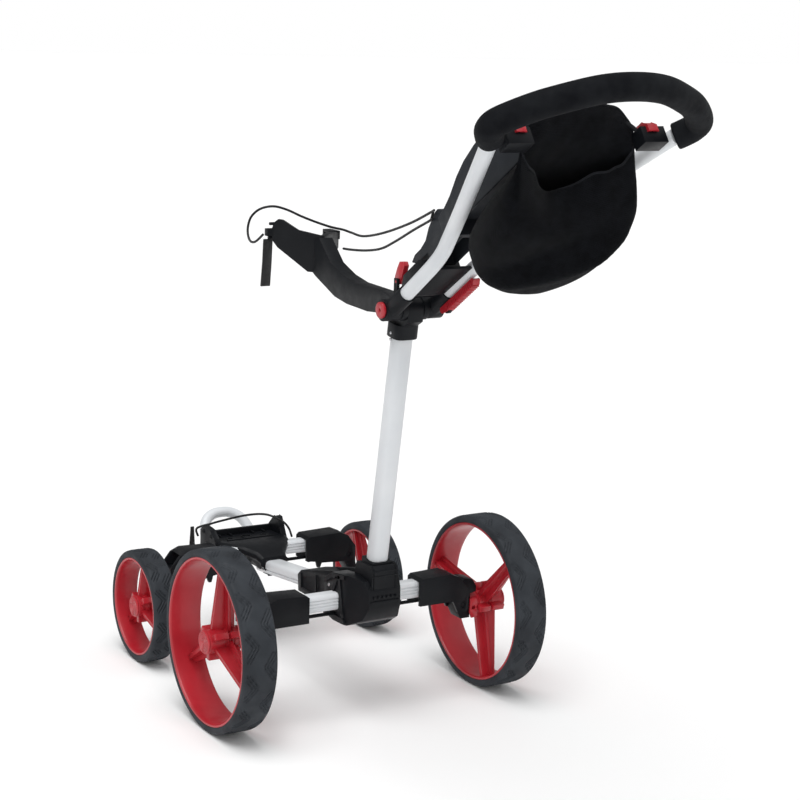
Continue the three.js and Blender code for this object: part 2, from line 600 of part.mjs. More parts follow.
const THUMB_PIVOT_RISE = 42; // above the barrel
const RELEASE_PIVOT = { s: 17, n: -22 };
const LEVER_PIN_RADIUS = 2.3;
function handleYoke() {
  const { s, n } = BARREL_IN_HANDLE;
  const within = (side, x0, x1, s0, s1) => (side > 0
    ? box(x0, x1, s0, s1, -40, 40) : box(-x1, -x0, s0, s1, -40, 40));
  const lug = (side) => {
    const xs = side > 0 ? [24, BARREL_HALF] : [-BARREL_HALF, -24];
    const barrel = rodX(17, xs[0], xs[1], s, n, 28);
    const path = side > 0 ? TUBE_PATH : mirrored(TUBE_PATH);
    const collar = sweep([[side * 36, s, 0], ...path], TUBE_RADIUS + 3, 16, 24);
    return union(barrel, collar.intersect(within(side, 24, 60, s, 34)));
  };
  const cheek = box(24.3, 29.3, s + 4, s + 22, n + 4, 17.5);
  const bridge = prismX([
    [8, 4], [34, -4], [118, -4], [118, 0], [84, 3], [84, 30], [34, 30], [20, 17.5], [10, 17.5],
  ], -34, 34);
  const upright = (piece) => turnedAboutX(piece, -HANDLE_SLOPE, s, n);
  const ear = upright(box(24.3, 28.6, -5, 5, 14, THUMB_PIVOT_RISE + 5));
  const { s: leverS, n: leverN } = RELEASE_PIVOT;
  const tongue = union(
    box(-40, -34, leverS - 6, leverS + 6, leverN, -TUBE_RADIUS - 1),
    rodX(6, -40, -34, leverS, leverN, 16),
  );
  const whole = union(lug(1), lug(-1), cheek, bridge, ear, tongue);
  const tube = sweep(TUBE_PATH, TUBE_RADIUS + GAP, 12, 20);
  const otherTube = sweep(mirrored(TUBE_PATH), TUBE_RADIUS + GAP, 12, 20);
  return inHandle(cut(
    whole,
    tube,
    otherTube,
    rodX(6 + GAP, -80, 80, s, n),
    upright(rodX(LEVER_PIN_RADIUS + GAP, 20, 40, 0, THUMB_PIVOT_RISE, 12)),
    rodX(LEVER_PIN_RADIUS + GAP, -60, -20, leverS, leverN, 12),
  ));
}
add('handle_yoke', handleYoke(), GREY);

// ---------- levers ----------
function thumbLever() {
  const { y, z } = BARREL;
  const rise = THUMB_PIVOT_RISE;
  const blade = prismX([
    [y - 13, z + 41], [y - 6, z + 38], [y + 4, z + 38], [y + 8, z + 54], [y + 13, z + 67], [y + 9, z + 73],
    [y - 1, z + 72], [y - 8, z + 60], [y - 13, z + 48],
  ], 13.5, 22.5);
  return union(blade, rodX(LEVER_PIN_RADIUS, 22, 28.4, y, z + rise, 12));
}
add('thumb_lever', thumbLever(), RED);

function releaseLever() {
  const blade = prismX([
    [6, -15.2], [104, -15.2], [110, -19], [108, -27], [98, -30], [22, -31], [9, -29], [4, -22],
  ], -45, -29);
  const ribs = [];
  const ribCount = 13;
  const ribPitch = 5.6;
  for (let i = 0; i < ribCount; i += 1) {
    const start = 30 + ribPitch * i;
    ribs.push(box(-43.5, -30.5, start, start + ribPitch / 2, -40, -28.6));
  }
  const { s, n } = RELEASE_PIVOT;
  const fork = box(-40.3, -33.7, s - 8, s + 8, -40, 0);
  const pin = rodX(LEVER_PIN_RADIUS, -45, -29, s, n, 12);
  return inHandle(union(cut(blade, fork, ...ribs), pin));
}
add('release_lever', releaseLever(), RED);

// ---------- console tray and cord holder ----------
function consoleTray() {
  const holder = prismX([
    [43, 46], [57, 52], [76, 52], [94, 56], [111, 68], [125, 74], [137, 79], [146, 80], [158, 73],
    [200, 62], [200, 14], [92, 14], [90, 37], [56, 37],
  ], -20, 20);
  const tray = prismX([
    [184, 14], [184, 46], [203, 50], [226, 58], [256, 73], [282, 82], [315, 88], [342, 90], [366, 80], [404, 38], [404, 14],
  ], -50, 50);
  const recess = prismX([[214, 44], [356, 44], [356, 120], [214, 120]], -44, 44);
  const underHolder = prismX([
    [98, 10], [98, 50], [125, 66], [146, 71], [156, 65], [180, 57], [180, 10],
  ], -16, 16);
  const underTray = prismX([[190, 10], [190, 40], [378, 40], [396, 28], [396, 10]], -46, 46);
  return inHandle(cut(union(holder, tray), recess, underHolder, underTray));
}
add('console_tray', consoleTray(), GREY);

// ---------- net bag, its frame and latches ----------
const BAG_CLIP = { x0: 89, x1: 128, s0: 467, s1: 491, n0: -12, n1: 12 };
function bagFrame() {
  const { x0, x1, s0, s1, n0, n1 } = BAG_CLIP;
  const arc = sweep([[-96, 480, 5], [-80, 478, 24], [-50, 472, 42], [0, 468, 50], [50, 472, 42], [80, 478, 24], [96, 480, 5]], 3, 10, 30);
  const pocket = (a, b) => box(a, b, 472.5, 488.5, 3, 30);
  return inHandle(cut(
    union(arc, box(x0, x1, s0, s1, n0, n1), box(-x1, -x0, s0, s1, n0, n1)),
    pocket(97.5, 114.5),
    pocket(-114.5, -97.5),
  ));
}
add('bag_frame', bagFrame(), BLACK);
for (const side of [1, -1]) {
  const xs = side > 0 ? [98, 114] : [-114, -98];
  const outline = [[473, 8], [488, 8], [488, 15], [477, 20], [473, 20]];
  add(`bag_latch_${side > 0 ? 'left' : 'right'}`, inHandle(prismX(outline, xs[0], xs[1])), RED);
}

const BAG = { s: 350, n: -30, rx: 104, rs: 120, rn: 88, wall: 3 };
function bagBody(inset) {
  const ball = new THREE.SphereGeometry(1, 16, 10);
  ball.rotateX(Math.PI / 2);
  ball.scale(BAG.rx - inset, BAG.rs - inset, BAG.rn - inset);
  ball.translate(0, BAG.s, BAG.n);
  const belly = solid(ball).intersect(box(-200, 200, 100, 600, -200, -TUBE_RADIUS - 3 - inset));
  const throat = box(-48 + inset, 48 - inset, 262 + inset, 300, -30, 12 + inset);
  const throatWide = box(-66 + inset, 66 - inset, 296, 444 - inset, -30, 12 + inset);
  return union(belly, throat, throatWide);
}
add('net_bag', inHandle(cut(bagBody(0), bagBody(BAG.wall))), MESH_CLOTH);

// ---------- centre the trolley on its footprint ----------
const extent = new THREE.Box3().setFromObject(trolley, true);
trolley.position.y = -(extent.min.y + extent.max.y) / 2;

export default trolley;
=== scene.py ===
"""Folding golf push trolley: the visual model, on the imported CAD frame.

Lengths are in millimetres in the design frame of the CAD, whose Y starts at the rear axle,
and at() turns them into metres in the row frame.
"""
import bpy
import bmesh
import json
import math
from mathutils import Matrix, Vector


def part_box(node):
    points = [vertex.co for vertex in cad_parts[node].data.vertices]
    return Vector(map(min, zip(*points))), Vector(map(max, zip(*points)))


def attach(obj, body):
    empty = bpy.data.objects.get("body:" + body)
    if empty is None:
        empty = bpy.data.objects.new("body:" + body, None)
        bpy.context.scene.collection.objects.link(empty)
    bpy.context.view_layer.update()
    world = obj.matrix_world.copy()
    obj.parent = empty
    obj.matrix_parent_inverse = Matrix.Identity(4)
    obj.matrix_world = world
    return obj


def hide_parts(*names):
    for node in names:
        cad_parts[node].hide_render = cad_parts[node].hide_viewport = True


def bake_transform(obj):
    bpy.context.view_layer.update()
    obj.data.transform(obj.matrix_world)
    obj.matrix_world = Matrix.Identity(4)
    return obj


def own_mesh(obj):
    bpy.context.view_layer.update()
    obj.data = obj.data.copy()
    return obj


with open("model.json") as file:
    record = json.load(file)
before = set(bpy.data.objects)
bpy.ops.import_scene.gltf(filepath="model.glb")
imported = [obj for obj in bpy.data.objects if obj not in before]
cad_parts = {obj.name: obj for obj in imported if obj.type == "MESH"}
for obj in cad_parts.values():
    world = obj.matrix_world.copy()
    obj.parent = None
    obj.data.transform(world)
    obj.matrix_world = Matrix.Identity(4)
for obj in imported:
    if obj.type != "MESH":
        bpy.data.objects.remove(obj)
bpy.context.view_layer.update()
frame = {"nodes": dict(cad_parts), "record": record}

MM = 0.001
LEFT, RIGHT = 1, -1
REAR_AXLE_Y = sum(corner[1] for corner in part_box("axle_rear_left")) / 2


def at(x, y, z):
    """A design point, in the row frame."""
    return Vector((x * MM, y * MM + REAR_AXLE_Y, z * MM))


DESIGN = Matrix.Translation(at(0, 0, 0))


# ---------- camera ----------
CAMERA_PLACE = (1511.1, 2578.0, 1130.4)
CAMERA_YAW, CAMERA_PITCH, CAMERA_ROLL = 0.549, 0.205, 0.035
CAMERA_LENS = 86.72


def add_camera():
    data = bpy.data.cameras.new("camera")
    data.lens = CAMERA_LENS
    data.sensor_width = 36.0
    camera = bpy.data.objects.new("camera", data)
    bpy.context.collection.objects.link(camera)
    forward = Vector((
        -math.sin(CAMERA_YAW) * math.cos(CAMERA_PITCH),
        -math.cos(CAMERA_YAW) * math.cos(CAMERA_PITCH),
        -math.sin(CAMERA_PITCH),
    ))
    level = forward.cross(Vector((0, 0, 1))).normalized()
    upright = level.cross(forward)
    right = math.cos(CAMERA_ROLL) * level + math.sin(CAMERA_ROLL) * upright
    up = math.cos(CAMERA_ROLL) * upright - math.sin(CAMERA_ROLL) * level
    turn = Matrix((right, up, -forward)).transposed().to_4x4()
    camera.matrix_world = Matrix.Translation(at(*CAMERA_PLACE)) @ turn
    bpy.context.scene.camera = camera


# ---------- materials ----------
def new_material(name, color, roughness, metallic=0.0, coat=0.0, sheen=0.0, specular=0.5):
    material = bpy.data.materials.new(name)
    material.use_nodes = True
    shader = material.node_tree.nodes["Principled BSDF"]
    shader.inputs["Base Color"].default_value = (*color, 1.0)
    shader.inputs["Roughness"].default_value = roughness
    shader.inputs["Metallic"].default_value = metallic
    shader.inputs["Coat Weight"].default_value = coat
    shader.inputs["Sheen Weight"].default_value = sheen
    shader.inputs["Specular IOR Level"].default_value = specular
    return material, shader


def add_node(material, kind, **inputs):
    node = material.node_tree.nodes.new(kind)
    for name, value in inputs.items():
        node.inputs[name.replace("_", " ")].default_value = value
    return node


def link(material, out, into):
    material.node_tree.links.new(out, into)


def object_noise(material, scale, detail=3.0, roughness=0.5):
    place = add_node(material, "ShaderNodeTexCoord")
    noise = add_node(material, "ShaderNodeTexNoise", Scale=scale, Detail=detail, Roughness=roughness)
    link(material, place.outputs["Object"], noise.inputs["Vector"])
    return noise


def vary_color(material, shader, dark, light, scale, low=0.35, high=0.65):
    noise = object_noise(material, scale, 4.0)
    ramp = add_node(material, "ShaderNodeValToRGB")
    ramp.color_ramp.elements[0].position = low
    ramp.color_ramp.elements[0].color = (*dark, 1.0)
    ramp.color_ramp.elements[1].position = high
    ramp.color_ramp.elements[1].color = (*light, 1.0)
    link(material, noise.outputs["Fac"], ramp.inputs["Fac"])
    link(material, ramp.outputs["Color"], shader.inputs["Base Color"])
    return ramp


def vary_roughness(material, shader, low, high, scale):
    noise = object_noise(material, scale, 5.0)
    spread = add_node(material, "ShaderNodeMapRange")
    spread.inputs["From Min"].default_value = 0.3
    spread.inputs["From Max"].default_value = 0.7
    spread.inputs["To Min"].default_value = low
    spread.inputs["To Max"].default_value = high
    link(material, noise.outputs["Fac"], spread.inputs["Value"])
    link(material, spread.outputs["Result"], shader.inputs["Roughness"])


def add_bump(material, shader, height, strength, distance):
    bump = add_node(material, "ShaderNodeBump", Strength=strength, Distance=distance)
    link(material, height, bump.inputs["Height"])
    link(material, bump.outputs["Normal"], shader.inputs["Normal"])


def white_powder_coat():
    color = (0.70, 0.725, 0.75)
    material, shader = new_material("white_powder_coat", color, 0.38, coat=0.15)
    vary_color(material, shader, (0.665, 0.69, 0.715), (0.735, 0.755, 0.775), 9.0)
    vary_roughness(material, shader, 0.33, 0.45, 35.0)
    grain = object_noise(material, 1400.0, 2.0)
    add_bump(material, shader, grain.outputs["Fac"], 0.12, 0.0004)
    return material


def moulded_plastic(name, dark, light, low, high):
    material, shader = new_material(name, light, high, specular=0.16)
    vary_color(material, shader, dark, light, 14.0)
    vary_roughness(material, shader, low, high, 60.0)
    grain = object_noise(material, 1800.0, 3.0, 0.6)
    add_bump(material, shader, grain.outputs["Fac"], 0.22, 0.0005)
    return material


def red_plastic():
    material, shader = new_material("red_plastic", (0.42, 0.012, 0.022), 0.36, coat=0.2)
    vary_color(material, shader, (0.37, 0.009, 0.018), (0.47, 0.016, 0.028), 12.0)
    vary_roughness(material, shader, 0.32, 0.46, 45.0)
    grain = object_noise(material, 1500.0, 2.0)
    add_bump(material, shader, grain.outputs["Fac"], 0.12, 0.0004)
    return material


def tyre_rubber():
    material, shader = new_material("tyre_rubber", (0.030, 0.034, 0.040), 0.62, specular=0.16)
    vary_color(material, shader, (0.024, 0.027, 0.032), (0.038, 0.043, 0.050), 22.0)
    vary_roughness(material, shader, 0.52, 0.72, 40.0)
    grain = object_noise(material, 900.0, 4.0, 0.65)
    add_bump(material, shader, grain.outputs["Fac"], 0.3, 0.0006)
    return material


def grip_foam():
    material, shader = new_material("grip_foam", (0.018, 0.019, 0.022), 0.85, sheen=0.02, specular=0.08)
    vary_color(material, shader, (0.004, 0.0045, 0.006), (0.009, 0.010, 0.012), 30.0)
    vary_roughness(material, shader, 0.72, 0.92, 80.0)
    place = add_node(material, "ShaderNodeTexCoord")
    cells = add_node(material, "ShaderNodeTexVoronoi", Scale=1100.0)
    link(material, place.outputs["Object"], cells.inputs["Vector"])
    add_bump(material, shader, cells.outputs["Distance"], 0.35, 0.0005)
    return material


def woven(name, dark, light, pitch, strength, sheen):
    """A weave of two crossed sets of threads, pitch threads to the metre."""
    material, shader = new_material(name, light, 0.8, sheen=sheen, specular=0.08)
    place = add_node(material, "ShaderNodeTexCoord")
    split = add_node(material, "ShaderNodeSeparateXYZ")
    link(material, place.outputs["Object"], split.inputs["Vector"])
    waves = []
    for axes in ((("X", 1.0), ("Y", 1.0)), (("X", 1.0), ("Z", -1.0))):
        total = add_node(material, "ShaderNodeMath")
        total.operation = "MULTIPLY_ADD"
        total.inputs[1].default_value = axes[1][1]
        link(material, split.outputs[axes[1][0]], total.inputs[0])
        link(material, split.outputs[axes[0][0]], total.inputs[2])
        scaled = add_node(material, "ShaderNodeMath")
        scaled.operation = "MULTIPLY"
        scaled.inputs[1].default_value = pitch * math.tau
        link(material, total.outputs[0], scaled.inputs[0])
        wave = add_node(material, "ShaderNodeMath")
        wave.operation = "SINE"
        link(material, scaled.outputs[0], wave.inputs[0])
        waves.append(wave)
    product = add_node(material, "ShaderNodeMath")
    product.operation = "MULTIPLY"
    link(material, waves[0].outputs[0], product.inputs[0])
    link(material, waves[1].outputs[0], product.inputs[1])
    ramp = vary_color(material, shader, dark, light, 60.0)
    ramp.color_ramp.elements[0].position = 0.3
    add_bump(material, shader, product.outputs[0], strength, 0.0005)
    return material


def plated_steel():
    material, shader = new_material("plated_steel", (0.55, 0.55, 0.57), 0.32, metallic=1.0)
    vary_roughness(material, shader, 0.26, 0.42, 120.0)
    vary_color(material, shader, (0.50, 0.50, 0.52), (0.60, 0.60, 0.62), 25.0)
    return material


def floor_paint():
    material, shader = new_material("studio_floor", (0.96, 0.96, 0.96), 0.85)
    vary_roughness(material, shader, 0.8, 0.9, 3.0)
    return material


WHITE = white_powder_coat()
BLACK = moulded_plastic("black_plastic", (0.0035, 0.004, 0.0055), (0.007, 0.008, 0.010), 0.36, 0.5)
GREY = moulded_plastic("dark_grey_plastic", (0.013, 0.015, 0.019), (0.021, 0.024, 0.029), 0.42, 0.56)
RED = red_plastic()
TYRE = tyre_rubber()
FOAM = grip_foam()
NET = woven("net_cloth", (0.005, 0.0055, 0.007), (0.010, 0.011, 0.014), 420.0, 0.5, 0.06)
WEBBING = woven("webbing", (0.007, 0.007, 0.008), (0.014, 0.014, 0.016), 700.0, 0.8, 0.3)
ELASTIC = woven("elastic_braid", (0.008, 0.008, 0.009), (0.016, 0.016, 0.018), 900.0, 0.7, 0.2)
STEEL = plated_steel()


# ---------- meshes ----------
def body_of_node(node):
    bodies = frame["record"]["behaviour"]["bodies"]
    return next(body for body, nodes in bodies.items() if node in nodes)


def finish_piece(piece, material, body=None, replaced=()):
    """Gives a piece its material and what it replaces. Without a body, it is left unattached."""
    piece.data.materials.clear()
    piece.data.materials.append(material)
    if replaced:
        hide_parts(*replaced)
    if body:
        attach(piece, body)
    return piece


def mesh_piece(name, bm, smooth_angle=40.0):
    bmesh.ops.recalc_face_normals(bm, faces=bm.faces)
    mesh = bpy.data.meshes.new(name)
    bm.to_mesh(mesh)
    bm.free()
    mesh.shade_smooth()
    mesh.set_sharp_from_angle(angle=math.radians(smooth_angle))
    piece = bpy.data.objects.new(name, mesh)
    bpy.context.collection.objects.link(piece)
    return piece


def bevel_sharp(bm, width, segments=2, angle=35.0):
    bm.normal_update()
    sharp = [
        edge for edge in bm.edges
        if len(edge.link_faces) == 2 and edge.calc_face_angle(0.0) > math.radians(angle)
    ]
    bmesh.ops.bevel(
        bm, geom=sharp, offset=width, segments=segments, profile=0.5, affect="EDGES", clamp_overlap=True,
    )


def softened(node, material, width, segments=2):
    """A CAD node with its moulded or machined edges rounded."""
    bm = bmesh.new()
    bm.from_mesh(frame["nodes"][node].data)
    bmesh.ops.remove_doubles(bm, verts=bm.verts, dist=0.00002)
    bmesh.ops.dissolve_limit(
        bm, angle_limit=math.radians(1.0), verts=bm.verts, edges=bm.edges, use_dissolve_boundaries=False,
    )
    bevel_sharp(bm, width * MM, segments)
    piece = mesh_piece(f"{node}_moulded", bm)
    return finish_piece(piece, material, body_of_node(node), [node])


def catmull(points, steps):
    """A smooth line through the points, with this many steps between each two."""
    line = []
    last = len(points) - 1
    for i in range(last):
        before, start = points[max(i - 1, 0)], points[i]
        end, after = points[i + 1], points[min(i + 2, last)]
        for k in range(steps):
            t = k / steps
            line.append(0.5 * (
                2 * start + (end - before) * t
                + (2 * before - 5 * start + 4 * end - after) * t * t
                + (3 * start - before - 3 * end + after) * t ** 3
            ))
    line.append(points[-1].copy())
    return line


def line_frames(line):
    """Directions across the line at each of its points, turned as little as possible."""
    tangents = []
    for i in range(len(line)):
        ahead, behind = line[min(i + 1, len(line) - 1)], line[max(i - 1, 0)]
        tangents.append((ahead - behind).normalized())
    across = tangents[0].orthogonal().normalized()
    frames = []
    for tangent in tangents:
        across = (across - tangent * across.dot(tangent)).normalized()
        frames.append((across.copy(), tangent.cross(across)))
    return frames


def sweep(bm, line, radii, sides, ends_round=0.0):
    """A round rod along the line. ends_round is how far each end domes, in metres."""
    frames = line_frames(line)
    rings = []
    for i, (point, (across, other)) in enumerate(zip(line, frames)):
        radius = radii[i] if isinstance(radii, list) else radii
        ring = []
        for k in range(sides):
            angle = math.tau * k / sides
            ring.append(bm.verts.new(point + radius * (math.cos(angle) * across + math.sin(angle) * other)))
        rings.append(ring)
    for lower, upper in zip(rings, rings[1:]):
        for k in range(sides):
            bm.faces.new((lower[k], lower[(k + 1) % sides], upper[(k + 1) % sides], upper[k]))
    for ring, end, inner in ((rings[0], line[0], line[1]), (rings[-1], line[-1], line[-2])):
        outward = (end - inner).normalized() * ends_round
        if ends_round:
            shrunk = [bm.verts.new(end + (v.co - end) * 0.75 + outward * 0.7) for v in ring]
            for k in range(sides):
                bm.faces.new((ring[k], ring[(k + 1) % sides], shrunk[(k + 1) % sides], shrunk[k]))
            ring = shrunk
        tip = bm.verts.new(end + outward)
        for k in range(sides):
            bm.faces.new((ring[k], ring[(k + 1) % sides], tip))


def lathe(bm, profile, segments, place=Matrix.Identity(4)):
    """A closed profile in (radius, x) turned about the X axis, in millimetres."""
    rings = []
    for i in range(segments):
        angle = math.tau * i / segments
        rings.append([
            bm.verts.new(place @ (Vector((x, r * math.cos(angle), r * math.sin(angle))) * MM))
            for r, x in profile
        ])
    count = len(profile)
    for i in range(segments):
        here, there = rings[i], rings[(i + 1) % segments]
        for k in range(count):
            corners = [here[k], here[(k + 1) % count], there[(k + 1) % count], there[k]]
            if profile[k][0] == 0 and profile[(k + 1) % count][0] == 0:
                continue
            bm.faces.new(corners)


def block(bm, low, high, place=Matrix.Identity(4)):
    """A box between two corners, in millimetres."""
    corners = [
        bm.verts.new(place @ (Vector((x, y, z)) * MM))
        for x in (low[0], high[0]) for y in (low[1], high[1]) for z in (low[2], high[2])
    ]
    for face in ((0, 1, 3, 2), (4, 6, 7, 5), (0, 4, 5, 1), (2, 3, 7, 6), (0, 2, 6, 4), (1, 5, 7, 3)):
        bm.faces.new([corners[i] for i in face])


def prism(bm, outline, low, high, place=Matrix.Identity(4)):
    """An outline in (y, z) from x = low to x = high, in millimetres."""
    ends = [
        [bm.verts.new(place @ (Vector((x, y, z)) * MM)) for y, z in outline]
        for x in (low, high)
    ]
    bm.faces.new(ends[0])
    bm.faces.new(reversed(ends[1]))
    count = len(outline)
    for k in range(count):
        bm.faces.new((ends[0][k], ends[0][(k + 1) % count], ends[1][(k + 1) % count], ends[1][k]))


# ---------- post and handle frames ----------
POST_PIVOT = (48.0, 212.0)
POST_LEAN = math.radians(8.06)
HANDLE_SLOPE = math.radians(34.93)
HANDLE_ORIGIN = (150.0, 686.0)


def on_handle(x, s, n):
    """A point x across, s up the tubes and n square to their plane."""
    y = HANDLE_ORIGIN[0] + s * math.cos(HANDLE_SLOPE) - n * math.sin(HANDLE_SLOPE)
    z = HANDLE_ORIGIN[1] + s * math.sin(HANDLE_SLOPE) + n * math.cos(HANDLE_SLOPE)
    return at(x, y, z)


def handle_place():
    """The handle frame, for pieces given as (x, s, n)."""
    return Matrix.Translation(at(0, *HANDLE_ORIGIN)) @ Matrix.Rotation(HANDLE_SLOPE, 4, "X")


# ---------- wheels ----------
WHEELS = {
    "rear": {
        "radius": 145, "width": 56, "rim": 132.5, "centre": (246.6, 0), "spin": {LEFT: 0, RIGHT: 45},
        "hub": (19, -41, 25), "spoke": (-21, 16, 1), "rounds": 540, "pitch": 14,
    },
    "front": {
        "radius": 96.7, "width": 43, "rim": 84, "centre": (221, -347), "spin": {LEFT: 4, RIGHT: -20},
        "hub": (18, -32.5, 18), "spoke": (-16, 12, 1), "rounds": 396, "pitch": 11,
    },
}
SPOKES = 3
GROOVE_DEPTH = 1.9
GROOVE_HALF_WIDTH = 1.7
CHEVRON_ARMS = (7.0, 12.5, 18.0)


def wheel_place(wheel, side):
    x, y = wheel["centre"]
    place = Matrix.Translation(at(side * x, y, wheel["radius"]))
    if side == RIGHT:
        place = place @ Matrix.Rotation(math.pi, 4, "Z")
    return place @ Matrix.Rotation(math.radians(wheel["spin"][side]), 4, "X")


def tread_groove(wheel, x, around):
    """Depth of the nested chevrons moulded into each shoulder of the tyre."""
    half = wheel["width"] / 2
    pitch = math.tau * wheel["radius"] / wheel["pitch"]
    shift = 0.0 if x > 0 else pitch / 2
    along = abs((around * wheel["radius"] + shift) % pitch - pitch / 2)
    inwards = half - 3 - abs(x)
    if inwards < 0.5 or inwards > 21:
        return 0.0
    reach = inwards + 0.72 * along
    depth = 0.0
    for arm in CHEVRON_ARMS:
        near = 1 - abs(reach - arm - 4) / GROOVE_HALF_WIDTH
        depth = max(depth, min(1.0, max(0.0, near) * 1.6))
    if along > pitch * 0.36:
        return 0.0
    return depth * GROOVE_DEPTH


def tyre(name, side):
    wheel = WHEELS[name]
    place = wheel_place(wheel, side)
    half, outer = wheel["width"] / 2, wheel["radius"]
    flank = [(wheel["rim"] + 0.3, half - 0.4), (wheel["rim"] + 2.5, half),
             (outer - 6, half), (outer - 3.2, half - 1.2)]
    crown = []
    steps = 34
    for i in range(steps + 1):
        x = (half - 2.4) * (1 - 2 * i / steps)
        edge = min(1.0, (half - abs(x)) / 9.0)
        crown.append((outer - 2.4 * (1 - edge) ** 2.2 - 0.25 * (x / half) ** 2, x))
    profile = flank + crown + [(r, -x) for r, x in reversed(flank)]
    bm = bmesh.new()
    rings = []
    for i in range(wheel["rounds"]):
        angle = math.tau * i / wheel["rounds"]
        ring = []
        for r, x in profile:
            depth = tread_groove(wheel, x, angle) if r > outer - 2.8 else 0.0
            radius = r - depth
            point = Vector((x, radius * math.cos(angle), radius * math.sin(angle))) * MM
            ring.append(bm.verts.new(place @ point))
        rings.append(ring)
    count = len(profile)
    for i in range(wheel["rounds"]):
        here, there = rings[i], rings[(i + 1) % wheel["rounds"]]
        for k in range(count):
            bm.faces.new((here[k], here[(k + 1) % count], there[(k + 1) % count], there[k]))
    word = f"{name}_{'left' if side == LEFT else 'right'}"
    piece = mesh_piece(f"tyre_tread_{word}", bm, 60)
    return finish_piece(piece, TYRE, f"wheel_{word}", [f"tyre_{word}"])


def spoke(bm, wheel, turn):
    """A blade in the plane of the axle with a rib across it, tapering to the rim."""
    hub_radius = wheel["hub"][0]
    inner, outer_hub, outer_rim = wheel["spoke"]
    root, tip, half = hub_radius - 4, wheel["rim"] - 3, 3.5
    outline = [(inner, root), (outer_hub, root), (outer_rim, tip), (inner, tip)]
    ends = [[bm.verts.new(turn @ (Vector((x, y, z)) * MM)) for x, z in outline] for y in (-half, half)]
    bm.faces.new(ends[0])
    bm.faces.new(reversed(ends[1]))
    for k in range(4):
        bm.faces.new((ends[0][k], ends[0][(k + 1) % 4], ends[1][(k + 1) % 4], ends[1][k]))
    prism(bm, [(-13, root), (13, root), (9, tip), (-9, tip)], -11, -6, turn)


def rim(name, side):
    wheel = WHEELS[name]
    place = wheel_place(wheel, side)
    half, outer = wheel["width"] / 2 - 0.6, wheel["rim"]
    hub_radius, hub_inner, hub_outer = wheel["hub"]
    bm = bmesh.new()
    for i in range(SPOKES):
        spoke(bm, wheel, place @ Matrix.Rotation(math.tau * i / SPOKES, 4, "X"))
        back = place @ Matrix.Rotation(math.tau * i / SPOKES + math.pi, 4, "X")
        for low, high in ((hub_inner + 13, -6), (-2, hub_outer - 4)):
            block(bm, (low, -5, hub_radius - 3), (high, 5, hub_radius + 11), back)
    bevel_sharp(bm, 1.1 * MM, 2)
    lathe(bm, [
        (outer, -half + 0.5), (outer, half - 0.5), (outer - 0.6, half), (outer - 3.0, half),
        (outer - 3.8, half - 0.7), (outer - 4.4, half - 3), (outer - 5, half - 9), (outer - 5, -half + 9),
        (outer - 4.4, -half + 3), (outer - 3.8, -half + 0.7), (outer - 3.0, -half), (outer - 0.6, -half),
    ], 144, place)
    bands = [(5.3, hub_inner), (hub_radius - 1, hub_inner), (hub_radius, hub_inner + 1)]
    for x in (hub_inner + 12, hub_inner + 24, hub_inner + 36):
        bands += [(hub_radius, x), (hub_radius - 1.6, x + 1), (hub_radius - 1.6, x + 6), (hub_radius, x + 7)]
    bands += [(hub_radius, hub_outer - 1), (hub_radius - 1, hub_outer), (5.3, hub_outer)]
    lathe(bm, bands, 48, place)
    word = f"{name}_{'left' if side == LEFT else 'right'}"
    piece = mesh_piece(f"rim_moulded_{word}", bm, 35)
    return finish_piece(piece, RED, f"wheel_{word}", [f"rim_{word}"])


def hub_cap(name, side):
    wheel = WHEELS[name]
    place = wheel_place(wheel, side)
    radius, _, face = wheel["hub"]
    x = face + 0.3
    bm = bmesh.new()
    profile = [(0, x), (radius - 0.8, x), (radius, x + 0.8), (radius, x + 2.0)]
    rings = 5
    for i in range(rings):
        outer = radius - 1.6 - i * (radius - 4) / rings
        inner = outer - (radius - 4) / rings * 0.45
        profile += [(outer, x + 3.6), (inner, x + 3.6), (inner - 0.5, x + 2.7), (inner - 1.2, x + 2.7)]
    profile += [(0, x + 3.4)]
    lathe(bm, profile, 64, place)
    for i in range(7):
        angle = math.radians(-60 + 20 * i)
        turn = place @ Matrix.Rotation(angle, 4, "X")
        block(bm, (x + 1.5, -0.9, radius * 0.35), (x + 3.9, 0.9, radius - 2.2), turn)
    word = f"{name}_{'left' if side == LEFT else 'right'}"
    piece = mesh_piece(f"hub_cap_ribbed_{word}", bm, 35)
    return finish_piece(piece, RED, f"wheel_{word}", [f"hub_cap_{word}"])


# ---------- tubes and grip ----------
TUBE_RADIUS = 11
TUBE_ROUTE = [
    (36, -4, 0), (37, 40, 0), (38.5, 90, 0), (40.5, 130, 0), (46, 165, 0), (56, 200, 0), (84, 290, 0),
    (115, 385, 0), (138, 455, 0), (147.5, 484, 0),
]
GRIP_RADIUS = 18.5
GRIP_HALF = [
    (148, 483, 0), (155, 491, 0), (163, 506, 0), (160, 525, 0), (131, 555, 0), (100, 576, 0), (50, 600, 0),
]


def handle_tube(side):
    word = "left" if side == LEFT else "right"
    line = catmull([on_handle(side * x, s, n) for x, s, n in TUBE_ROUTE], 6)
    bm = bmesh.new()
    sweep(bm, line, TUBE_RADIUS * MM, 40, 0.002)
    piece = mesh_piece(f"handle_tube_round_{word}", bm, 50)
    return finish_piece(piece, WHITE, "handle", [f"handle_tube_{word}"])


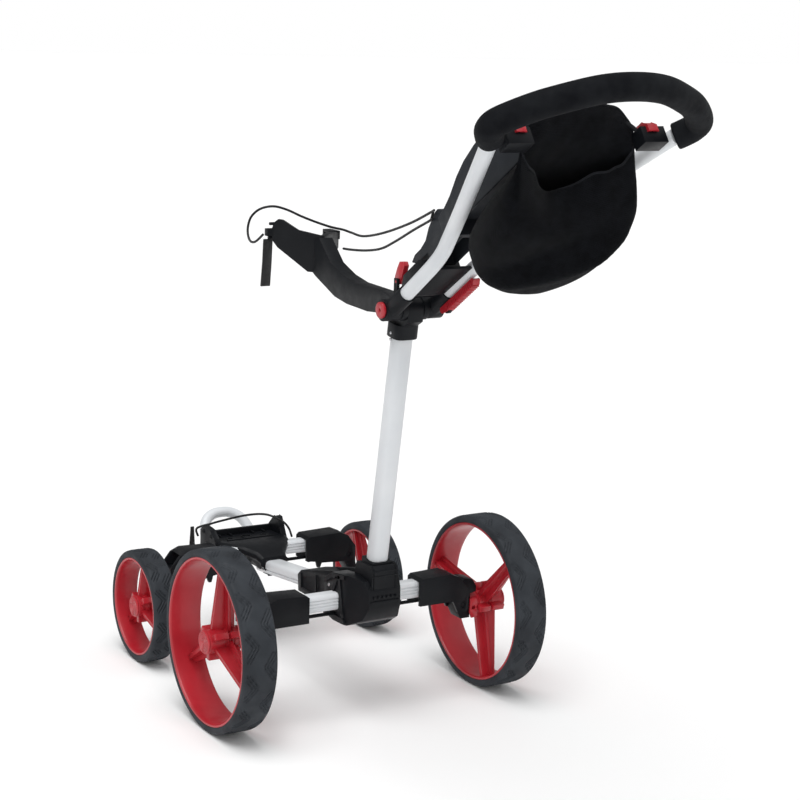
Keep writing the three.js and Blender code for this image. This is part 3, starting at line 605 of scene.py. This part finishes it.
def foam_grip():
    right = [on_handle(-x, s, n) for x, s, n in GRIP_HALF]
    left = [on_handle(x, s, n) for x, s, n in reversed(GRIP_HALF)]
    line = catmull(right + [on_handle(0, 607, 0)] + left, 8)
    radii = [GRIP_RADIUS * MM] * len(line)
    for i, share in enumerate((0.86, 0.94, 0.985)):
        radii[i] *= share
        radii[-1 - i] *= share
    bm = bmesh.new()
    sweep(bm, line, radii, 48)
    piece = mesh_piece("foam_grip_soft", bm, 60)
    finish_piece(piece, FOAM, "handle", ["foam_grip"])
    return piece


LOOP_ROUTE = [
    (-44, -452, 137), (-44.5, -470, 156), (-43, -485, 172), (-34, -499, 187), (-18, -507, 195),
    (0, -509, 197), (18, -507, 195), (34, -499, 187), (43, -485, 172), (44.5, -470, 156), (44, -452, 137),
]


def front_loop():
    bm = bmesh.new()
    sweep(bm, catmull([at(*p) for p in LOOP_ROUTE], 8), 9.5 * MM, 36, 0.001)
    return finish_piece(mesh_piece("front_loop_round", bm, 50), WHITE, "chassis", ["front_loop"])


# ---------- cords and straps ----------
UPPER_CORD = [
    (76, -214, 747), (78, -236, 733), (74, -262, 730), (68, -284, 738), (63, -294, 752), (57, -293, 768),
    (47, -281, 781), (34, -260, 787), (18, -243, 783), (-2, -228, 773), (-24, -217, 764), (-44, -202, 757),
    (-58, -186, 754), (-60, -162, 752), (-48, -100, 754), (-28, 0, 772.7), (-8, 109, 801), (12, 198, 828),
    (21, 216, 831), (23, 215, 820), (14, 197, 815), (-2, 128, 793), (-20, 44, 764), (-36, -24, 744),
    (-48, -91, 732), (-60, -160, 724), (-62, -190, 722),
]
LOWER_CORD = [
    (80, -436, 180), (82, -437, 194), (66, -415, 206), (46, -396, 216), (22, -381, 224), (-4, -372, 227),
    (-28, -376, 222), (-52, -388, 210), (-70, -394, 199), (-81, -394, 186), (-84, -388, 172),
]
CORD_RADIUS = 2.0


CORD_STEPS = 8


def cord_piece(name, line):
    bm = bmesh.new()
    sweep(bm, line, CORD_RADIUS * MM, 14, 0.0008)
    return mesh_piece(name, bm, 60)


def cords():
    lower = catmull([at(*p) for p in LOWER_CORD], CORD_STEPS)
    finish_piece(cord_piece("lower_bungee_braid", lower), ELASTIC, "chassis", ["lower_bungee"])
    # The loop of the upper cord crosses the barrel twice, so it is cut there into the two front strands
    # and the rear loop, which are left unattached.
    line = catmull([at(*p) for p in UPPER_CORD], CORD_STEPS)
    out, back = 16 * CORD_STEPS, 21 * CORD_STEPS
    front = (("upper_bungee_front", line[:out + 1], ["upper_bungee"]), ("upper_bungee_back", line[back:], []))
    for name, stretch, replaced in front:
        piece = finish_piece(cord_piece(name, stretch), ELASTIC, replaced=replaced)
        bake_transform(piece)
    rear = finish_piece(cord_piece("upper_bungee_rear", line[out:back + 1]), ELASTIC)
    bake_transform(rear)


# ---------- lower bag platform ----------
# Sections from front to rear: (y, half width, bottom z, top z).
PLATFORM_SECTIONS = [
    (-469, 50, 140, 158), (-456, 60, 137, 168), (-440, 66, 134, 176), (-418, 74, 140, 177),
    (-396, 74, 144, 178), (-372, 66, 148, 182), (-350, 58, 148, 183.5), (-330, 44, 145, 182),
    (-310, 29, 137, 176), (-294, 25, 137, 169),
]
HOOKED_EAR = [(-440, 160), (-440, 190), (-430, 199), (-404, 197), (-386, 186), (-380, 176), (-386, 160)]
POINTED_EAR = [(-438, 160), (-438, 186), (-416, 207), (-406, 206), (-382, 164)]


def platform_section(half_width, bottom, top):
    """One side of a section of the deck, from the middle of its top to the middle of its belly."""
    return [
        (0, top), (half_width - 6, top), (half_width, top - 4), (half_width, top - 11),
        (half_width * 0.72, top - 19), (half_width * 0.42, bottom), (0, bottom),
    ]


def bag_platform():
    bm = bmesh.new()
    rings = []
    for y, half_width, bottom, top in PLATFORM_SECTIONS:
        side = platform_section(half_width, bottom, top)
        outline = side + [(-x, z) for x, z in reversed(side[1:-1])]
        rings.append([bm.verts.new(at(x, y, z)) for x, z in outline])
    count = len(rings[0])
    for lower, upper in zip(rings, rings[1:]):
        for k in range(count):
            bm.faces.new((lower[k], lower[(k + 1) % count], upper[(k + 1) % count], upper[k]))
    bm.faces.new(rings[0])
    bm.faces.new(reversed(rings[-1]))
    prism(bm, HOOKED_EAR, 62, 73, DESIGN)
    prism(bm, POINTED_EAR, -73, -62, DESIGN)
    block(bm, (-64, -438, 168), (64, -431, 187), DESIGN)
    for x in (-44, -22, 22, 44):
        block(bm, (x - 1.5, -431, 172), (x + 1.5, -418, 181), DESIGN)
    block(bm, (-48, -386, 176), (48, -381, 182.5), DESIGN)
    bevel_sharp(bm, 1.1 * MM, 2, 25.0)
    for x, y, radius in ((0, -404, 10), (34, -400, 7), (-34, -400, 7)):
        turn = DESIGN @ Matrix.Translation(Vector((x, y, 176)) * MM) @ Matrix.Rotation(-math.pi / 2, 4, "Y")
        lathe(bm, [(radius - 3, 0), (radius, 0), (radius - 0.6, 3.4), (radius - 2.4, 3.4)], 32, turn)
    for place, x in ((at(0, -428, 190), 73), (at(0, -398, 188), 73), (at(0, -413, 193), -73)):
        side = Matrix.Translation(place + Vector((x * MM, 0, 0)))
        lathe(bm, [(2.4, -0.5), (4.4, -0.5), (4.0, 0.9), (2.8, 0.9)], 24, side)
    return finish_piece(mesh_piece("bag_platform_moulded", bm, 30), BLACK, "chassis", ["bag_platform"])


# ---------- hub details ----------
def hub_details():
    """Struts, panel frames and a row of studs proud of the hub, and the collar round the post foot."""
    bm = bmesh.new()
    for side in (LEFT, RIGHT):
        low, high = sorted((side * 45.5, side * 48))
        prism(bm, [(-27, 158), (-22, 156), (14, 222), (9, 225)], low, high, DESIGN)
        prism(bm, [(30, 160), (35, 163), (20, 228), (14, 227)], low, high, DESIGN)
        prism(bm, [(-29, 205), (-29, 212), (-6, 226), (34, 232), (34, 226), (-4, 220)], low, high, DESIGN)
        prism(bm, [(-29, 154), (-29, 160), (34, 160), (38, 154)], low, high, DESIGN)
        low, high = sorted((side * 23.5, side * 25.5))
        block(bm, (low, -152, 158), (high, -148, 184), DESIGN)
        block(bm, (low, -100, 160), (high, -96, 194), DESIGN)
    for k in range(6):
        block(bm, (-22 + 8 * k, 82, 204), (-18.5 + 8 * k, 85.6, 208), DESIGN)
    block(bm, (-26, 80, 196), (26, 84.8, 200), DESIGN)
    block(bm, (-26, 74, 219), (26, 79.5, 224), DESIGN)
    bevel_sharp(bm, 0.6 * MM, 2)
    finish_piece(mesh_piece("hub_ribs", bm, 35), BLACK, "chassis")
    # The collar is open to the front, where the post foot comes down as it folds.
    collar = bmesh.new()
    for side in (LEFT, RIGHT):
        low, high = sorted((side * 19, side * 23.5))
        prism(collar, [(26, 226), (29, 248), (34, 255), (75, 256), (80, 250), (80, 218)], low, high, DESIGN)
    prism(collar, [(74, 224), (73.6, 256), (75, 256), (80, 250), (80, 218)], -20, 20, DESIGN)
    for z in (238, 246):
        block(collar, (-23.5, 79, z), (23.5, 81, z + 2.5), DESIGN)
    bevel_sharp(collar, 0.8 * MM, 2, 20.0)
    finish_piece(mesh_piece("hub_collar", collar, 30), BLACK, "chassis")


# ---------- release lever and bag latches ----------
def release_lever():
    place = handle_place()
    bm = bmesh.new()
    blade = [(6, -14.8), (106, -14.8), (109, -18), (104, -24), (20, -25.5), (8, -24), (4, -19)]
    prism(bm, blade, -43, -31, place)
    for k in range(16):
        start = 24 + 5 * k
        block(bm, (-43.8, start, -26.3), (-30.2, start + 2.4, -17), place)
    bevel_sharp(bm, 0.5 * MM, 2)
    return finish_piece(mesh_piece("release_lever_ribbed", bm, 35), RED, "release_lever", ["release_lever"])


def bag_latches():
    for side, word in ((LEFT, "left"), (RIGHT, "right")):
        bm = bmesh.new()
        wedge = [(474, 9), (494.5, 3), (494.5, 12), (486, 20), (474, 20)]
        prism(bm, wedge, *sorted((side * 98, side * 114)), handle_place())
        bevel_sharp(bm, 0.9 * MM, 2)
        name = f"bag_latch_{word}"
        finish_piece(mesh_piece(f"{name}_wedge", bm, 35), RED, name, [name])


# ---------- screws and rivets ----------
def screw(bm, place, radius):
    """A domed head, facing along Z of its place."""
    turn = place @ Matrix.Rotation(-math.pi / 2, 4, "Y")
    lathe(bm, [
        (0, -1.5), (radius, -1.5), (radius, 0.3), (radius * 0.86, 0.9), (radius * 0.45, 1.25), (0, 1.3),
    ], 24, turn)


def facing(point, outward):
    return Matrix.Translation(point) @ outward.to_track_quat("Z", "Y").to_matrix().to_4x4()


def fasteners():
    normal = (on_handle(0, 0, 1) - on_handle(0, 0, 0)).normalized()
    for side, word in ((LEFT, "left"), (RIGHT, "right")):
        bm = bmesh.new()
        for x, s in ((36, 4), (36.6, 26), (44, 156), (142.6, 469)):
            screw(bm, facing(on_handle(side * x, s, TUBE_RADIUS + (3.0 if s < 34 else 0.0)), normal), 3.0)
        finish_piece(mesh_piece(f"tube_screws_{word}", bm, 50), STEEL, "handle")
    rivets = bmesh.new()
    for z in (624, 634):
        rise = (z - POST_PIVOT[1]) / math.cos(POST_LEAN)
        back = POST_PIVOT[0] + rise * math.sin(POST_LEAN)
        screw(rivets, facing(at(20.4, back, z), Vector((1, 0, 0))), 2.2)
    finish_piece(mesh_piece("collar_rivets", rivets, 50), STEEL, "post")
    hub = bmesh.new()
    for side in (LEFT, RIGHT):
        for y, z in ((-16, 204), (28, 166)):
            screw(hub, facing(at(side * 46, y, z), Vector((side, 0, 0))), 3.0)
    finish_piece(mesh_piece("hub_screws", hub, 50), STEEL, "chassis")


# ---------- net bag ----------
# Rings up the bag: (s, tilt of the ring, half width, n of the far wall, n of the near wall).
BAG_RINGS = [
    (238, 0, 24, -26, -78), (240, 2, 44, -18, -90), (248, 4, 61, -13, -100), (264, 4, 73, -10, -107),
    (290, 3, 86, -8, -113), (325, 0, 97, -7, -117), (360, -3, 103, -6, -117), (390, -8, 105, -5, -113),
    (415, -16, 104, -2, -104), (436, -26, 99, 6, -88), (450, -30, 94, 20, -68), (461, -30, 92, 36, -48),
    (466, -28, 92, 47, -40),
]
BAG_SIDES = 128
LIP_GATHER = math.radians(-78)


def bag_fold(around, up):
    """How far the cloth stands in or out, in millimetres: drape lines from the clips and one long fold."""
    near = max(0.0, -math.sin(around))
    crease = up - 0.52 + 0.26 * math.cos(around)
    shelf = -13.0 * math.tanh(crease / 0.035) + 7.0 * math.exp(-((crease + 0.05) / 0.05) ** 2)
    gathers = 2.6 * math.sin(17 * around) * max(0.0, up - 0.6) ** 1.5
    drape = 1.6 * math.sin(7 * around + 5 * up) * (up ** 2) + 0.9 * math.sin(13 * around - 9 * up) * up
    return near * (shelf * min(1.0, 4 * up) + gathers) + drape


def lip_sag(around, up):
    """How far the near lip sags below the clips, to the one place where it is gathered."""
    away = (around - LIP_GATHER + math.pi) % math.tau - math.pi
    return 34.0 * math.exp(-(away / 0.42) ** 2) * max(0.0, (up - 0.62) / 0.38) ** 1.5


def bag_point(ring, around, up):
    s, tilt, half_width, far, near = ring
    across, depth = math.cos(around), math.sin(around)
    middle, reach = (far + near) / 2, (far - near) / 2
    power = 0.78
    x = half_width * math.copysign(abs(across) ** power, across)
    n = middle + reach * math.copysign(abs(depth) ** power, depth)
    out = bag_fold(around, up)
    x += out * across * 0.5
    n += out * depth
    limit = 148 - 0.36 * (484 - s) - 15
    if n > -14:
        x = max(-limit, min(limit, x))
    sag = lip_sag(around, up)
    return on_handle(x, s - tilt * depth - sag, n - 0.25 * sag)


def net_bag():
    rings = []
    steps = 4
    last = len(BAG_RINGS) - 1
    keys = [Vector(ring[:3]) for ring in BAG_RINGS]
    walls = [Vector((ring[3], ring[4], 0)) for ring in BAG_RINGS]
    smooth_keys, smooth_walls = catmull(keys, steps), catmull(walls, steps)
    bm = bmesh.new()
    for i, (key, wall) in enumerate(zip(smooth_keys, smooth_walls)):
        up = i / (last * steps)
        ring = (*key, wall[0], wall[1])
        rings.append([
            bm.verts.new(bag_point(ring, math.tau * k / BAG_SIDES, up)) for k in range(BAG_SIDES)
        ])
    for lower, upper in zip(rings, rings[1:]):
        for k in range(BAG_SIDES):
            bm.faces.new((lower[k], lower[(k + 1) % BAG_SIDES], upper[(k + 1) % BAG_SIDES], upper[k]))
    middle = sum((v.co for v in rings[0]), Vector()) / BAG_SIDES
    tip = bm.verts.new(middle - (on_handle(0, 1, 0) - on_handle(0, 0, 0)) * 2)
    for k in range(BAG_SIDES):
        bm.faces.new((rings[0][k], rings[0][(k + 1) % BAG_SIDES], tip))
    hem_line = [v.co.copy() for v in rings[-1]]
    bmesh.ops.solidify(bm, geom=bm.faces, thickness=0.0014)
    piece = mesh_piece("net_bag_cloth", bm, 70)
    finish_piece(piece, NET, "handle", ["net_bag"])
    hem = bmesh.new()
    sweep(hem, hem_line + hem_line[:2], 1.6 * MM, 10)
    binding = finish_piece(mesh_piece("net_bag_binding", hem, 70), NET, "handle")
    for cloth in (piece, binding):
        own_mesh(cloth)


# ---------- floor and light ----------
BACKDROP = 1.0
AMBIENT = 0.3
SUNS = (
    # name, where it shines from, strength, angle across in degrees
    ("overhead", (0.25, 0.15, 1.0), 2.25, 50.0),
    ("front_fill", (0.9, 1.3, 0.75), 0.75, 60.0),
    ("side_fill", (-1.0, 0.3, 0.5), 0.45, 60.0),
)


def studio():
    bm = bmesh.new()
    bmesh.ops.create_grid(bm, x_segments=1, y_segments=1, size=30.0)
    floor = mesh_piece("studio_floor", bm)
    floor.data.materials.append(floor_paint())
    world = bpy.data.worlds.new("studio")
    world.use_nodes = True
    nodes = world.node_tree.nodes
    nodes["Background"].inputs["Color"].default_value = (1.0, 1.0, 1.0, 1.0)
    ray = nodes.new("ShaderNodeLightPath")
    seen = nodes.new("ShaderNodeMapRange")
    seen.inputs["To Min"].default_value = AMBIENT
    seen.inputs["To Max"].default_value = BACKDROP
    world.node_tree.links.new(ray.outputs["Is Camera Ray"], seen.inputs["Value"])
    world.node_tree.links.new(seen.outputs["Result"], nodes["Background"].inputs["Strength"])
    bpy.context.scene.world = world
    for name, toward, strength, angle in SUNS:
        data = bpy.data.lights.new(name, "SUN")
        data.energy = strength
        data.angle = math.radians(angle)
        lamp = bpy.data.objects.new(name, data)
        bpy.context.collection.objects.link(lamp)
        lamp.rotation_euler = Vector(toward).to_track_quat("Z", "Y").to_euler()
    bpy.context.scene.view_settings.view_transform = "Standard"


# ---------- moulded and machined pieces kept from the CAD ----------
MOULDED = {
    "arm_casing_": (BLACK, 1.6), "knuckle_": (BLACK, 1.4), "wheel_catch_": (RED, 0.8),
    "link_rod_": (BLACK, 0.5), "rear_cross_bar": (WHITE, 0.7), "front_cross_bar": (WHITE, 0.7),
    "centre_beam": (WHITE, 0.7), "hub_body": (BLACK, 1.8), "beam_socket": (BLACK, 1.4),
    "post_pivot_pin": (STEEL, 0.5), "post_foot": (BLACK, 1.2),
    "post_head": (BLACK, 1.2), "barrel_bolt": (STEEL, 0.5), "barrel_cap": (RED, 0.7),
    "bag_cradle": (BLACK, 1.6), "handle_yoke": (BLACK, 1.2), "console_tray": (GREY, 1.6),
    "bag_frame": (BLACK, 0.6), "thumb_lever": (RED, 0.8),
    "post": (WHITE, 0.8), "axle_": (STEEL, 0.5),
}
STRAPS = {
    # node: edge rounding in millimetres, and the flat width and length in metres
    "lower_strap": (0.8, (0.011, 0.038)),
    "cradle_strap": (0.8, (0.017, 0.080)),
}


def moulded_pieces():
    for node in frame["nodes"]:
        exact = MOULDED.get(node)
        family = next((MOULDED[key] for key in MOULDED if key.endswith("_") and node.startswith(key)), None)
        if exact or family:
            softened(node, *(exact or family))
    for node, (width, cut) in STRAPS.items():
        strap = softened(node, WEBBING, width)


add_camera()
for wheel_side in (LEFT, RIGHT):
    handle_tube(wheel_side)
    for wheel_name in WHEELS:
        tyre(wheel_name, wheel_side)
        rim(wheel_name, wheel_side)
        hub_cap(wheel_name, wheel_side)
foam_grip()
front_loop()
cords()
bag_platform()
hub_details()
release_lever()
bag_latches()
fasteners()
net_bag()
moulded_pieces()
studio()
